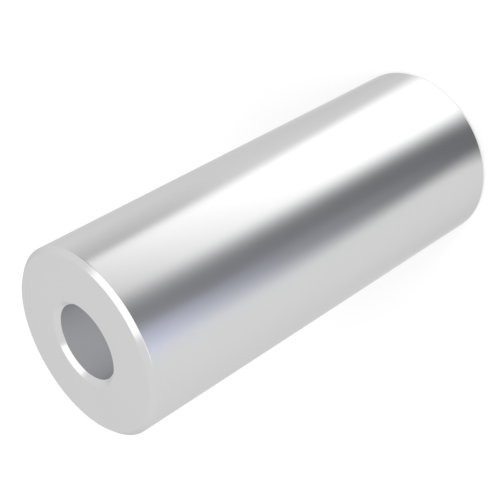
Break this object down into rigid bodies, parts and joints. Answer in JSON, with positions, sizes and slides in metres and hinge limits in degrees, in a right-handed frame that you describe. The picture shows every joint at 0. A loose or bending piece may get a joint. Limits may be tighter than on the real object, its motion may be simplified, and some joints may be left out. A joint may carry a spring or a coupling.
{
  "type": "spacer sleeve",
  "caption": "Plain round metal spacer sleeve with a bore right through it and small chamfers on its end edges and bore mouths, standing on one end.",
  "frame": {"origin": "centre of the lower end face, on the bore's axis", "axes": "+Z along the bore from the lower end to the upper end; the sleeve is round about it, so +X and +Y are free"},
  "size_m": [0.02, 0.02, 0.05],
  "materials": {
    "turned_aluminium": "satin, as turned, with fine marks round the wall"
  },
  "bodies": {
    "root": {"sleeve_body": "turned_aluminium"}
  },
  "joints": []
}
